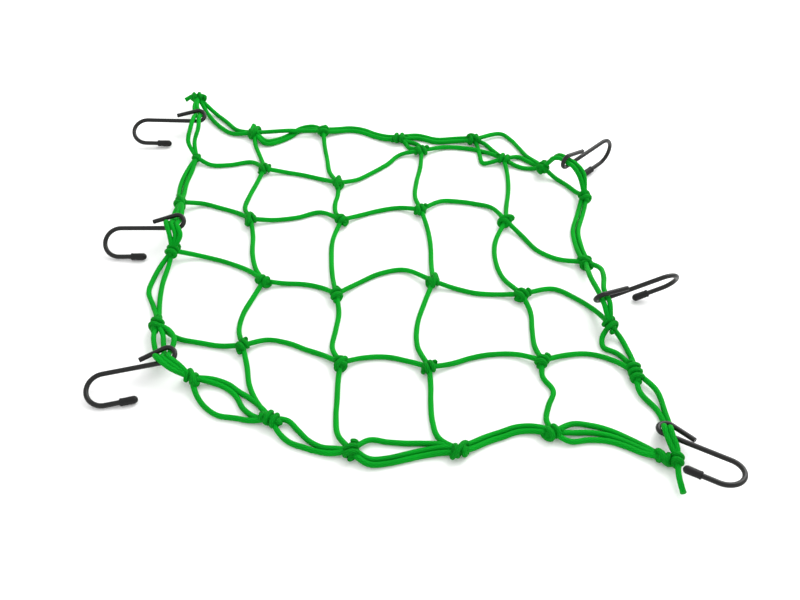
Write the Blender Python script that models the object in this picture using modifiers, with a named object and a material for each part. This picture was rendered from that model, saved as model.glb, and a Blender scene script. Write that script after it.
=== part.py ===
"""Luggage net of elastic cord, laid out on a flat surface.

A mesh of four by four knots is tied into a border of two or three cords side by side. Six bent-wire
hooks are threaded on the border, each with a soft cap on its tip. Lengths in the tables are in
millimetres and angles in degrees. +X runs along the top border, +Y away from the bottom border.
"""

import math
from collections import namedtuple

import bmesh
import bpy
from mathutils import Euler, Matrix, Vector

MM = 0.001

# Elastic cord
CORD_D = 3.8
CORD_PITCH = 4.1  # between the middles of cords that lie side by side
SAG = 0.75  # how far a cord's tube may cut the corner of its curved route
LAY = 0.05  # a cord's underside over the surface
SPREAD_IN_KNOT = 0.9  # how much of their pitch cords keep where a knot holds them
FINE_STEPS = 8  # points worked out between two places of a cord's route
RISE = 0.36  # share of a strand in which it comes down from its knot
KNOT_SIDES, KNOT_RINGS = 8, 5
RIDGE = 0.12  # height of a knot's turns, as a share of its size
RIDGES, SLANT = 2, 3.0  # turns that show round a knot, and how far they lean on their way up it
SLIVER = 0.15  # edges shorter than this are closed up where cords are joined

# Hook, in its own plane: x along the shank from the middle of the eye to the bend, y across
WIRE_D = 3.5
EYE_R = 5.3
SHANK = 44.0  # middle of the eye to the middle of the bend
BEND_R = 11.5
TIP_ARM = 22.0  # straight part of the open arm, cap included
RETURN_ARM = 19.0  # from the eye back along the shank
ARM_GAP = 1.5  # between the return arm's end and the shank
EYE_STEPS, BEND_STEPS = 6, 8
THREAD = 6.0  # a cord runs straight for this long on each side of an eye's plane
EYE_CLEAR = 0.55  # between a cord and the wire of the eye it winds through

# Tip cap
CAP_D = 5.6
CAP_L = 12.0
CAP_BORE = 9.0
CAP_ROUND = 2.8  # length of its rounded end
CAP_LIP = 0.4  # chamfer at its mouth
CAP_END_STEPS, CAP_TURN = 3, 12
FIT = 0.38  # between the wire and the cap, all round

GREEN = (0.006, 0.372, 0.020, 1.0)
WIRE_BLACK = (0.024, 0.025, 0.021, 1.0)
CAP_BLACK = (0.010, 0.010, 0.010, 1.0)

ORIGIN = (-13.9, 42.9)  # the middle of the outline in the tables' plan

# name, plan position, height of its middle, length, width, height and the direction of its length
Knot = namedtuple("Knot", "name x y z length width height turn")
KNOTS = (
    Knot("top_left", -187, 253, 13.0, 17, 11, 10, 5),
    Knot("top_1", -130, 207, 4.0, 13, 12, 10, 20),
    Knot("top_2", -69, 210, 4.0, 12, 12, 10, 90),
    Knot("top_3", -1, 199, 4.0, 14, 12, 10, 0),
    Knot("top_4", 66, 197, 4.0, 14, 12, 10, 10),
    Knot("top_5", 122, 152, 8.0, 15, 12, 10, 60),
    Knot("right_1", 152, 114, 7.0, 16, 12, 10, 100),
    Knot("right_2", 142, 36, 4.0, 15, 12, 10, 90),
    Knot("right_3", 149, -33, 9.0, 15, 13, 10, 110),
    Knot("right_4", 160, -74, 4.0, 22, 12, 10, 95),
    Knot("bottom_right", 165, -144, 4.0, 13, 11, 10, 70),
    Knot("corner_turn", 173, -147, 7.0, 12, 11, 11, 60),
    Knot("bottom_4", 98, -125, 4.0, 14, 12, 10, 30),
    Knot("bottom_3", 38, -139, 4.0, 14, 12, 10, 10),
    Knot("bottom_2", -31, -139, 4.0, 13, 12, 10, 90),
    Knot("bottom_1", -84, -114, 4.0, 20, 13, 10, 150),
    Knot("bottom_left", -141, -80, 6.0, 15, 11, 10, 150),
    Knot("left_4", -173, -32, 8.0, 14, 13, 11, 80),
    Knot("left_3", -175, 45, 9.0, 15, 12, 10, 80),
    Knot("left_2", -179, 105, 8.0, 15, 12, 10, 80),
    Knot("left_1", -177, 171, 3.6, 15, 10, 9, 80),
    Knot("mesh_11", -116, 154, 4.0, 12, 11, 10, 30),
    Knot("mesh_12", -52, 134, 4.0, 12, 11, 10, 120),
    Knot("mesh_13", 19, 180, 4.0, 13, 12, 10, 20),
    Knot("mesh_14", 90, 168, 4.0, 13, 12, 10, 150),
    Knot("mesh_21", -120, 87, 4.0, 12, 11, 10, 45),
    Knot("mesh_22", -47, 86, 4.0, 12, 11, 10, 135),
    Knot("mesh_23", 17, 99, 4.0, 12, 11, 10, 30),
    Knot("mesh_24", 85, 85, 4.0, 13, 11, 10, 60),
    Knot("mesh_31", -102, 15, 4.0, 12, 11, 10, 150),
    Knot("mesh_32", -47, 1, 4.0, 13, 11, 10, 100),
    Knot("mesh_33", 25, 15, 4.0, 12, 12, 10, 30),
    Knot("mesh_34", 90, 1, 4.0, 13, 12, 10, 45),
    Knot("mesh_41", -110, -50, 4.0, 12, 11, 10, 60),
    Knot("mesh_42", -41, -66, 4.0, 13, 11, 10, 100),
    Knot("mesh_43", 20, -70, 4.0, 12, 11, 10, 30),
    Knot("mesh_44", 98, -64, 4.0, 12, 11, 10, 60),
)

# A strand runs from knot to knot. Its bows are how far it lies to the left of the straight line
# between them, at equal shares of the way. Lift raises it where it crosses over another.
Strand = namedtuple("Strand", "start end cords lift bows")
STRANDS = (
    # mesh, left to right
    Strand("left_1", "mesh_11", 1, 0, (-4, 1, 9)),
    Strand("mesh_11", "mesh_12", 1, 0, (4, 5, 4)),
    Strand("mesh_12", "mesh_13", 1, 0, (-2, 0, 3, 8)),
    Strand("mesh_13", "mesh_14", 1, 0, (12, 14, 11)),
    Strand("mesh_14", "top_5", 1, 0, (-0.5, -1, 1.5)),
    Strand("top_5", "right_1", 1, 0, (3, 4, 3)),
    Strand("left_2", "mesh_21", 1, 0, (9.5, 9, 7)),
    Strand("mesh_21", "mesh_22", 1, 0, (2.5, 6, 12.5)),
    Strand("mesh_22", "mesh_23", 1, 0, (6, 9, 9)),
    Strand("mesh_23", "mesh_24", 1, 0, (17, 20, 20, 17)),
    Strand("mesh_24", "right_2", 1, 0, (-4, -10, -8)),
    Strand("left_3", "mesh_31", 1, 0, (7.5, 10, 10, 7.5)),
    Strand("mesh_31", "mesh_32", 1, 0, (4, 7, 6.5)),
    Strand("mesh_32", "mesh_33", 1, 0, (11.5, 19, 19)),
    Strand("mesh_33", "mesh_34", 1, 0, (-1.5, -3, -1)),
    Strand("mesh_34", "right_3", 1, 0, (19.5, 19, 14)),
    Strand("left_4", "mesh_41", 1, 0, (-4, -3.5, -2.5)),
    Strand("mesh_41", "mesh_42", 1, 0, (11, 12, 9, 6)),
    Strand("mesh_42", "mesh_43", 1, 0, (8, 10, 7)),
    Strand("mesh_43", "mesh_44", 1, 0, (4, 9, 11, 9)),
    Strand("mesh_44", "right_4", 1, 0, (10, 14, 11)),
    # mesh, top to bottom
    Strand("top_1", "mesh_11", 1, 0, (-2, -1, 0)),
    Strand("mesh_11", "mesh_21", 1, 0, (-4, -7, -8)),
    Strand("mesh_21", "mesh_31", 1, 0, (-1, -4, -4)),
    Strand("mesh_31", "mesh_41", 1, 0, (-5, -8, -7)),
    Strand("mesh_41", "bottom_1", 1, 0, (-2, -5, -4)),
    Strand("top_2", "mesh_12", 1, 0, (-2, -3, -4)),
    Strand("mesh_12", "mesh_22", 1, 0, (-1, -4, -4)),
    Strand("mesh_22", "mesh_32", 1, 0, (-6, -6, -4)),
    Strand("mesh_32", "mesh_42", 1, 0, (1, -2, -5)),
    Strand("mesh_42", "bottom_2", 1, 0, (-3, -5, -7, -7)),
    Strand("top_3", "mesh_13", 1, 0, (1, -1.5, 1.5)),
    Strand("top_3", "mesh_13", 1, 0, (4, 7, 6)),
    Strand("mesh_13", "mesh_23", 1, 0, (-1, -4, -5)),
    Strand("mesh_23", "mesh_33", 1, 0, (3, 3, 1)),
    Strand("mesh_33", "mesh_43", 1, 0, (-6, -10, -9)),
    Strand("mesh_43", "bottom_3", 1, 0, (-3, -7, -10, -10)),
    Strand("top_4", "mesh_14", 1, 0, (-4, -10.5, -15.5)),
    Strand("mesh_14", "mesh_24", 1, 0, (3, 3, 1)),
    Strand("mesh_24", "mesh_34", 1, 0, (-11, -14, -11)),
    Strand("mesh_34", "mesh_44", 1, 0, (3, 0.5, -1.5)),
    Strand("mesh_44", "bottom_4", 1, 0, (-1, 5, 0.5, -2.5)),
    # border, clockwise from the top left corner
    Strand("top_left", "top_1", 1, 0, (1.5, -1, -4.5)),
    Strand("top_left", "top_1", 1, 0, (-5, -10, -11)),
    Strand("top_1", "top_2", 1, 4, (1, 0.5, 0.5)),
    Strand("top_1", "top_2", 2, 0, (-12, -9, -2.5, 7.5, 8.5)),
    Strand("top_2", "top_3", 2, 0, (6, 10.5, 9.5, 5, 1.5)),
    Strand("top_3", "top_4", 2, 0, (6, 1, 2.5)),
    Strand("top_4", "top_5", 1, 0, (24, 23, 17.5, 11.5, 7.5)),
    Strand("top_4", "mesh_14", 1, 0, (5, 4, 3)),
    Strand("mesh_14", "top_5", 1, 0, (11.5, 10, 7)),
    Strand("right_1", "right_2", 2, 0, (-3.5, -7, -4.5)),
    Strand("right_3", "right_4", 1, 0, (5, 5, 4)),
    Strand("right_3", "right_4", 1, 0, (-8.5, -10, -3.5, -0.5, 0.5)),
    Strand("bottom_right", "bottom_4", 1, 0, (-7, -12, -15, -15.5, -12.5)),
    Strand("bottom_right", "bottom_4", 1, 0, (-4, -8, -10, -9.5, -6)),
    Strand("bottom_right", "bottom_4", 1, 0, (-1, -4.2, -6, -4.5, 0)),
    Strand("bottom_4", "bottom_3", 2, 0, (-7, -9.5, -8, -6.5, -3.5)),
    Strand("bottom_3", "bottom_2", 1, 0, (-6, -7.5, -7.5, -8.5, -9.5)),
    Strand("bottom_3", "bottom_2", 2, 0, (-1.5, 0, 3, 6, 7)),
    Strand("bottom_2", "bottom_1", 1, 0, (1.5, 4, 3, -1, -4.5)),
    Strand("bottom_2", "bottom_1", 1, 0, (5.5, 8, 9, 9.5, 6.5)),
    Strand("bottom_1", "bottom_left", 1, 0, (-5, -7.5, -8, -9, -7)),
    Strand("bottom_1", "bottom_left", 1, 0, (3, 1, -3.9, -4.9, -3)),
    Strand("bottom_1", "bottom_left", 1, 0, (6.5, 10, 14, 13, 8.5)),
    Strand("left_4", "left_3", 1, 0, (3, 8, 13, 12, 8)),
    Strand("left_4", "left_3", 1, 0, (1, 3, 4, 4, 2)),
    Strand("left_2", "left_1", 1, 0, (5.5, 7.5, 6)),
    Strand("left_2", "left_1", 1, 0, (1.5, 2.5, 2)),
)

# A threaded strand passes through the eye of a hook on its way. Slot 0 is nearest the eye's round
# end. Its bows are measured to the eye and from the eye.
Threaded = namedtuple("Threaded", "start hook end slot to_eye from_eye")
THREADED = (
    Threaded("top_5", "top_right", "right_1", 0, (1, -2), (0.5,)),
    Threaded("top_5", "top_right", "right_1", 1, (5, 2), (3,)),
    Threaded("right_2", "mid_right", "right_3", 0, (-2, -2.5), (-1,)),
    Threaded("right_2", "mid_right", "right_3", 1, (6, 4), (0,)),
    Threaded("right_4", "bottom_right", "corner_turn", 0, (-4, -1), (-1, -1)),
    Threaded("right_4", "bottom_right", "corner_turn", 1, (7.5, 5), (0, 1)),
    Threaded("bottom_left", "bottom_left", "left_4", 0, (0,), (-6.5, -6)),
    Threaded("bottom_left", "bottom_left", "left_4", 1, (1.5,), (-1.5, -2.5)),
    Threaded("bottom_left", "bottom_left", "left_4", 2, (3.5,), (2, 2.5)),
    Threaded("left_3", "mid_left", "left_2", 0, (-5,), (-1.5,)),
    Threaded("left_3", "mid_left", "left_2", 1, (-3,), (-1,)),
    Threaded("left_3", "mid_left", "left_2", 2, (-0.5,), (0,)),
    Threaded("left_1", "top_left", "top_left", 0, (0, 1.5), (2,)),
    Threaded("left_1", "top_left", "top_left", 1, (3, 4), (2.5,)),
)

# A tail is a cord end that leaves its knot: its length, direction, sideways bow and drop to the end
Tail = namedtuple("Tail", "knot length heading bow drop")
TAILS = (
    Tail("top_left", 13, 170, -5, 5),
    Tail("corner_turn", 26, -93, -1, 3),
    Tail("top_1", 12, 100, 2, 0),
)

# A hook stands where its eye's middle is. Heading turns its shank in plan, pitch raises the bend and
# roll turns the hook about its shank.
Hook = namedtuple("Hook", "name x y z heading pitch roll")
HOOKS = (
    Hook("top_left", -181, 219.5, 14.5, 183, 3.5, 154),
    Hook("mid_left", -173.4, 67.2, 19.2, 178, -2, 148),
    Hook("bottom_left", -158.7, -65.4, 12.8, 192, -3, 163),
    Hook("top_right", 137.2, 131.8, 29.2, 41, 4.5, 90),
    Hook("mid_right", 144.6, -17, 20.0, 10, 19, 113),
    Hook("bottom_right", 171, -123.5, 6.7, -35, 7.6, -9),
)


def clear_scene():
    for obj in list(bpy.data.objects):
        bpy.data.objects.remove(obj, do_unlink=True)


def collection(name, hidden=False):
    made = bpy.data.collections.new(name)
    made.hide_render = hidden
    bpy.context.scene.collection.children.link(made)
    return made


def material(name, colour, roughness):
    made = bpy.data.materials.new(name)
    made.use_nodes = True
    shader = made.node_tree.nodes["Principled BSDF"]
    shader.inputs["Base Color"].default_value = colour
    shader.inputs["Roughness"].default_value = roughness
    shader.inputs["Metallic"].default_value = 0.0
    made.diffuse_color = colour
    return made


def add_object(name, data, home):
    made = bpy.data.objects.new(name, data)
    home.objects.link(made)
    return made


def smooth_line(points, before=None, after=None):
    """A centripetal Catmull-Rom curve through the given points, with rings only where it bends.

    Before and after are places that it comes from and goes on to, if it doesn't end there.
    """
    ends = [before or 2 * points[0] - points[1], *points, after or 2 * points[-1] - points[-2]]
    fine = [points[0].copy()]
    for a, b, c, d in zip(ends, ends[1:], ends[2:], ends[3:]):
        t0 = 0.0
        t1 = t0 + (b - a).length ** 0.5
        t2 = t1 + (c - b).length ** 0.5
        t3 = t2 + (d - c).length ** 0.5
        for i in range(1, FINE_STEPS + 1):
            t = t1 + (t2 - t1) * i / FINE_STEPS
            ab = a.lerp(b, (t - t0) / (t1 - t0))
            bc = b.lerp(c, (t - t1) / (t2 - t1))
            cd = c.lerp(d, (t - t2) / (t3 - t2))
            abc = ab.lerp(bc, (t - t0) / (t2 - t0))
            bcd = bc.lerp(cd, (t - t1) / (t3 - t1))
            fine.append(abc.lerp(bcd, (t - t1) / (t2 - t1)))
    return thinned(fine)


def thinned(line):
    """The line with only those of its points that keep it within the sag."""
    ahead = (line[-1] - line[0]).normalized()
    off = [(point - line[0]).cross(ahead).length for point in line]
    worst = off.index(max(off))
    if off[worst] < SAG:
        return [line[0], line[-1]]
    return [*thinned(line[:worst + 1])[:-1], *thinned(line[worst:])]


def cord_tube(name, line, home):
    """A closed six-sided tube along the line, as a mesh."""
    curve = bpy.data.curves.new(name, "CURVE")
    curve.dimensions = "3D"
    curve.twist_mode = "Z_UP"
    curve.bevel_depth = CORD_D / 2 * MM
    curve.bevel_resolution = 1
    curve.use_fill_caps = True
    spline = curve.splines.new("POLY")
    spline.points.add(len(line) - 1)
    for point, place in zip(spline.points, line):
        place.z = max(place.z, CORD_D / 2 + LAY)
        point.co = (*(place * MM), 1.0)
    guide = add_object(name + "_line", curve, home)
    mesh = bpy.data.meshes.new_from_object(guide.evaluated_get(bpy.context.evaluated_depsgraph_get()))
    bpy.data.objects.remove(guide, do_unlink=True)
    built = bmesh.new()
    built.from_mesh(mesh)
    bmesh.ops.remove_doubles(built, verts=built.verts, dist=0.001 * MM)
    bmesh.ops.recalc_face_normals(built, faces=built.faces)
    built.to_mesh(mesh)
    built.free()
    return add_object(name, mesh, home)


def knot_lump(knot, home):
    """An ellipsoid whose surface rises and falls in slanting turns, flat where it meets the floor."""
    built = bmesh.new()
    bmesh.ops.create_uvsphere(built, u_segments=KNOT_SIDES, v_segments=KNOT_RINGS, radius=1.0)
    for vert in built.verts:
        around = math.atan2(vert.co.y, vert.co.x)
        turns = 1 + RIDGE * math.cos(RIDGES * around + SLANT * vert.co.z) * (1 - vert.co.z**2)
        size = Vector((knot.length / 2 * turns, knot.width / 2 * turns, knot.height / 2))
        vert.co = vert.co * size
    bmesh.ops.rotate(built, verts=built.verts, matrix=Matrix.Rotation(math.radians(knot.turn), 3, "Z"))
    for vert in built.verts:
        vert.co += Vector((knot.x, knot.y, knot.z))
        vert.co.z = max(vert.co.z, 0.0)
        vert.co *= MM
    mesh = bpy.data.meshes.new("knot_" + knot.name)
    built.to_mesh(mesh)
    built.free()
    return add_object("knot_" + knot.name, mesh, home)


def between(start, end, bows, offset, lift):
    """The points of a strand between two places, without its ends, laid on the surface."""
    run = Vector((end.x - start.x, end.y - start.y, 0))
    left = Vector((-run.y, run.x, 0)).normalized()
    floor = CORD_D / 2 + LAY
    points = []
    for i, bow in enumerate(bows, 1):
        share = i / (len(bows) + 1)
        height = floor + lift * math.sin(math.pi * share)
        height += (start.z - floor) * max(0.0, 1 - share / RISE) ** 2
        height += (end.z - floor) * max(0.0, 1 - (1 - share) / RISE) ** 2
        point = start + run * share + left * (bow + offset)
        points.append(Vector((point.x, point.y, height)))
    return points


def strand_lines(strand, places):
    start, end = places[strand.start], places[strand.end]
    run = end - start
    left = Vector((-run.y, run.x, 0)).normalized()
    for i in range(strand.cords):
        offset = (i - (strand.cords - 1) / 2) * CORD_PITCH
        held = left * offset * SPREAD_IN_KNOT
        middle = between(start, end, strand.bows, offset, strand.lift)
        yield smooth_line([start + held, *middle, end + held])


def hook_pose(hook):
    turn = Euler([math.radians(a) for a in (hook.roll, -hook.pitch, hook.heading)], "XYZ")
    return Matrix.Translation((hook.x, hook.y, hook.z)) @ turn.to_matrix().to_4x4()


def arm_slope():
    """How fast the return arm closes in on the shank."""
    return (2 * EYE_R - WIRE_D - ARM_GAP) / RETURN_ARM


def eye_places(hook, slot):
    """The ends of a cord's straight run over the shank, through the eye and under the return arm.

    It lies as level as the wires let it: it leans from the eye's normal until it is level or until
    it comes near them.
    """
    pose = hook_pose(hook)
    reach = WIRE_D / 2 + CORD_D / 2 + EYE_CLEAR
    x = reach - EYE_R + slot * CORD_PITCH
    half = EYE_R - arm_slope() * x / 2 if x > 0 else math.sqrt(EYE_R**2 - x**2)
    across = pose.to_3x3() @ Vector((0, 1, 0))
    down = pose.to_3x3() @ Vector((0, 0, 1))
    down *= -math.copysign(1, down.z)
    lean = min(math.acos(reach / half), math.atan2(-down.z, across.z))
    middle = pose @ Vector((x, half - EYE_R, 0))
    way = across * math.sin(lean) + down * math.cos(lean)
    return [middle - way * THREAD, middle + way * THREAD]


def threaded_line(row, places, hooks):
    start, end = places[row.start], places[row.end]
    eye = eye_places(hooks[row.hook], row.slot)
    if (eye[0] - start).length > (eye[1] - start).length:
        eye.reverse()
    to_eye = risen(start, eye[0], row.to_eye)
    from_eye = risen(end, eye[1], [-bow for bow in reversed(row.from_eye)])
    into = smooth_line([start, *to_eye, eye[0]], after=eye[1])
    return into + smooth_line([eye[1], *reversed(from_eye), end], before=eye[0])


def risen(knot, eye, bows):
    """The points of a strand in the air between a knot and an eye, without its ends."""
    run = eye - knot
    left = Vector((-run.y, run.x, 0)).normalized()
    points = []
    for i, bow in enumerate(bows, 1):
        share = i / (len(bows) + 1)
        point = knot + run * share + left * bow
        point.z = knot.z + run.z * math.sin(math.pi / 2 * share)
        points.append(point)
    return points


def tail_line(tail, places):
    start = places[tail.knot]
    heading = math.radians(tail.heading)
    ahead = Vector((math.cos(heading), math.sin(heading), 0))
    left = Vector((-ahead.y, ahead.x, 0))
    middle = start + ahead * tail.length * 0.5 + left * tail.bow - Vector((0, 0, tail.drop / 2))
    end = start + ahead * tail.length - Vector((0, 0, tail.drop))
    return smooth_line([start, middle, end])


def joined(name, operands, home):
    """The union of the operands as one mesh, with the pockets enclosed between cords filled."""
    first, *others = operands.objects
    operands.objects.unlink(first)
    home.objects.link(first)
    union = first.modifiers.new("tied together", "BOOLEAN")
    union.operation = "UNION"
    union.operand_type = "COLLECTION"
    union.collection = operands
    union.solver = "EXACT"
    mesh = bpy.data.meshes.new_from_object(first.evaluated_get(bpy.context.evaluated_depsgraph_get()))
    for obj in (first, *others):
        bpy.data.objects.remove(obj, do_unlink=True)
    built = bmesh.new()
    built.from_mesh(mesh)
    bmesh.ops.dissolve_degenerate(built, dist=SLIVER * MM, edges=built.edges)
    shells = sorted(shells_of(built), key=len)
    bmesh.ops.delete(built, geom=[face for shell in shells[:-1] for face in shell], context="FACES")
    built.to_mesh(mesh)
    built.free()
    mesh.name = name
    return add_object(name, mesh, home)


def shells_of(built):
    """The faces of each closed surface in the mesh."""
    left = set(built.faces)
    while left:
        shell, rim = [], [left.pop()]
        while rim:
            face = rim.pop()
            shell.append(face)
            near = {other for edge in face.edges for other in edge.link_faces} & left
            left -= near
            rim += near
        yield shell


def build_net(parts, operands, finish):
    """Every cord and knot, tied into one body."""
    places = {knot.name: Vector((knot.x, knot.y, knot.z)) for knot in KNOTS}
    hooks = {hook.name: hook for hook in HOOKS}
    lines = [line for strand in STRANDS for line in strand_lines(strand, places)]
    lines += [threaded_line(row, places, hooks) for row in THREADED]
    lines += [tail_line(tail, places) for tail in TAILS]
    for i, line in enumerate(lines):
        cord_tube(f"cord_{i:02d}", line, operands)
    for knot in KNOTS:
        knot_lump(knot, operands)
    net = joined("net", operands, parts)
    net.data.materials.append(finish)
    return net


def arc(centre, radius, start, end, steps):
    angles = [math.radians(start + (end - start) * i / steps) for i in range(steps + 1)]
    return [Vector((centre[0] + radius * math.cos(a), centre[1] + radius * math.sin(a), 0)) for a in angles]


def hook_line():
    """The wire's middle line in the hook's own plane, from the return arm's end to the tip."""
    wire_end = SHANK - TIP_ARM + CAP_L - CAP_BORE + FIT
    tip_y = -EYE_R - 2 * BEND_R
    line = [Vector((RETURN_ARM, EYE_R - arm_slope() * RETURN_ARM, 0))]
    line += arc((0, 0), EYE_R, 90, 270, EYE_STEPS)
    line += arc((SHANK, -EYE_R - BEND_R), BEND_R, 90, -90, BEND_STEPS)
    line.append(Vector((wire_end, tip_y, 0)))
    return line


def build_hook(hook, home, finish):
    curve = bpy.data.curves.new("hook_" + hook.name, "CURVE")
    curve.dimensions = "3D"
    curve.bevel_depth = WIRE_D / 2 * MM
    curve.bevel_resolution = 2
    curve.use_fill_caps = True
    spline = curve.splines.new("POLY")
    line = hook_line()
    spline.points.add(len(line) - 1)
    for point, place in zip(spline.points, line):
        point.co = (*(place * MM), 1.0)
    spline.use_smooth = True
    curve.materials.append(finish)
    return add_object("hook_" + hook.name, curve, home)


def build_cap(name, home, finish):
    """A turned sleeve with a round end, open where the wire goes in."""
    outer, bore = CAP_D / 2, WIRE_D / 2 + FIT
    end = [math.radians(90 * i / CAP_END_STEPS) for i in range(CAP_END_STEPS + 1)]
    profile = [(outer * math.sin(a), CAP_L - CAP_ROUND * (1 - math.cos(a))) for a in end]
    profile += [(outer, CAP_LIP), (outer - CAP_LIP, 0), (bore, 0), (bore, CAP_BORE), (0, CAP_BORE)]
    mesh = bpy.data.meshes.new("cap_" + name)
    edges = [(i, i + 1) for i in range(len(profile) - 1)]
    mesh.from_pydata([(x * MM, 0, z * MM) for x, z in profile], edges, [])
    mesh.materials.append(finish)
    cap = add_object("cap_" + name, mesh, home)
    screw = cap.modifiers.new("turned", "SCREW")
    screw.axis = "Z"
    screw.steps = screw.render_steps = CAP_TURN
    screw.use_merge_vertices = True
    screw.merge_threshold = 0.01 * MM
    screw.use_smooth_shade = True
    return cap


def place(obj, pose, frame):
    obj.parent = frame
    obj.matrix_local = Matrix.Translation(pose.translation * MM) @ pose.to_3x3().to_4x4()


def main():
    clear_scene()
    parts = collection("luggage_net")
    operands = collection("cords and knots", hidden=True)
    cord = material("green elastic cord", GREEN, 0.7)
    wire = material("black coated wire", WIRE_BLACK, 0.35)
    soft = material("black soft cap", CAP_BLACK, 0.5)
    frame = add_object("net_frame", None, parts)
    build_net(parts, operands, cord).parent = frame
    at_mouth = Matrix.Translation((SHANK - TIP_ARM + CAP_L, -EYE_R - 2 * BEND_R, 0))
    along_arm = Matrix.Rotation(math.radians(-90), 4, "Y")
    for hook in HOOKS:
        pose = hook_pose(hook)
        place(build_hook(hook, parts, wire), pose, frame)
        place(build_cap(hook.name, parts, soft), pose @ at_mouth @ along_arm, frame)
    frame.location = (-ORIGIN[0] * MM, -ORIGIN[1] * MM, 0)
    bpy.context.view_layer.update()


main()
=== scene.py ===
"""Luggage net of braided elastic cord with coated wire hooks, lying spread out: its cords, knots,
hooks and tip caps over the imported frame.

Every shape is a surface of two parameters that numpy works out as whole arrays. The tables give
lengths in millimetres and angles in degrees. +X runs along the top border, +Y away from the
bottom border, and the net lies on z = 0.
"""

import math
from collections import namedtuple

import bpy
import numpy as np
from mathutils import Euler, Matrix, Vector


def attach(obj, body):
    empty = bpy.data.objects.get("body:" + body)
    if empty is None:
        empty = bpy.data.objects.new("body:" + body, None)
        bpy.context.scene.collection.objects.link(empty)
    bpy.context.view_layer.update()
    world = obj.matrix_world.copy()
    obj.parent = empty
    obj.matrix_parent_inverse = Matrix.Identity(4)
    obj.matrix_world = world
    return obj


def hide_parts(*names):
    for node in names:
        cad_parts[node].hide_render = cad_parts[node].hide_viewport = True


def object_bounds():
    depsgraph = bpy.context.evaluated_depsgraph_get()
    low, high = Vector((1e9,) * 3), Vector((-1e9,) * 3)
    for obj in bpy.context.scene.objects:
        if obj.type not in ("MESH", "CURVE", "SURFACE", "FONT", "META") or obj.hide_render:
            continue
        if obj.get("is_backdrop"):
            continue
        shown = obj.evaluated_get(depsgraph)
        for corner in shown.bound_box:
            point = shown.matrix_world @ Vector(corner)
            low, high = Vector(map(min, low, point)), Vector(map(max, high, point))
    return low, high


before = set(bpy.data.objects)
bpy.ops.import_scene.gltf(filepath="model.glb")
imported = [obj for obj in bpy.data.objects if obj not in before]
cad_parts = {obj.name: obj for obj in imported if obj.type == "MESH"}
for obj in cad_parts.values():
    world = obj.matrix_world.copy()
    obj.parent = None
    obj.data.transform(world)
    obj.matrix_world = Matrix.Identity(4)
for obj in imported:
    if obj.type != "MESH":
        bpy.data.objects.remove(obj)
cad_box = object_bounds()

bl_info = {
    "name": "Knotted luggage net",
    "version": (1, 0, 0),
    "blender": (4, 5, 0),
    "location": "3D View > Sidebar > Luggage Net",
    "description": "Builds a knotted net of braided elastic cord with wire hooks",
    "category": "Add Mesh",
}

MM = 0.001
ORIGIN = np.array([-13.9, 42.9, 0.0])  # the middle of the outline in the tables' plan

LAY = 0.05  # a cord's underside over the surface
RISE = 0.36  # share of a strand in which it comes down from its knot
HELD = 0.9  # share of their gap that cords side by side keep where they enter a knot
FINE_STEPS = 12  # points worked out between two places of a cord's route
RING_GAP = 1.5  # between the rings of a cord's tube
TAIL_GAP = 1.0  # the same on a cord's cut end
FINE_GAP = 0.9  # the same on hooks and on the turns of knots, which bend tightly
CORD_SIDES, WIRE_SIDES, CAP_SIDES = 12, 20, 32

END_BEVEL = 0.35  # along the cord, round the edge of a cut end
END_SLIM = 0.8  # what the bevel takes off the radius, as a share of its length
FLARE = 0.12  # share by which the braid opens at a cut end
FLARE_REACH = 1.5  # how far up the cord it does so
FLARED = 0.57  # a cut end's radius with its flare, as a share of the cord's diameter

EYE_CLEAR = 0.55  # between a cord and the wire of the eye it winds through
THREAD = 6.0  # a cord runs straight for this long on each side of an eye's plane
ARM_GAP = 1.5  # between the return arm's end and the shank
TIP_INSIDE = 3.0  # from the cap's round end back to the wire's end inside it
EYE_STEPS, BEND_STEPS = 28, 36

KNOT_LIFT = 0.2  # a knot's underside over the surface
DRAWN = 0.48  # radius of a cord drawn tight, as a share of its diameter at rest
TURN_ROOM = 8.0  # length of knot for each turn
TURN_GAP = 1.25  # most room for a turn along the knot, as a share of the cord's diameter
TURN_STEPS = 18  # places on the route of one turn
TUCK = 0.3  # share of a turn in which the coil's end is tucked in
TUCKED = 0.65  # share of its width that the coil loses there
SIDE_ROOM, TOP_ROOM = 0.6, 0.4  # from the turns to the knot's stated width and height, at each side
HEART_ROOM = 0.8  # from the heart to each end of the knot
HEART_SLIM = 1.25  # what the turns take off the heart's thickness, as a share of the cord's diameter

CAP_PLAY = 0.38  # between the cap's bore and the wire
CAP_SLIM = 0.1  # taken off the sleeve's radius for its lip and its parting line
CAP_DOME = 2.8  # length of the round end
CAP_SEAM = 0.05  # height of the parting line
# The cap's profile in pairs: along it from its mouth, and out from the bore or from the sleeve
CAP_INSIDE = ((9.0, 0), (0.25, 0), (0.0, 0.25))
CAP_SLEEVE = ((0.1, -0.28), (0.5, 0.06), (1.1, 0.06), (1.7, -0.1), (3.5, -0.08), (6.0, -0.02), (8.0, 0))

CAMERA_DOWN = 45  # how far the camera looks down, found from the photo as its lens was
CAMERA_LENS, CAMERA_SENSOR = 41.4, 36.0
SKY_STRENGTH = 1.15

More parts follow.
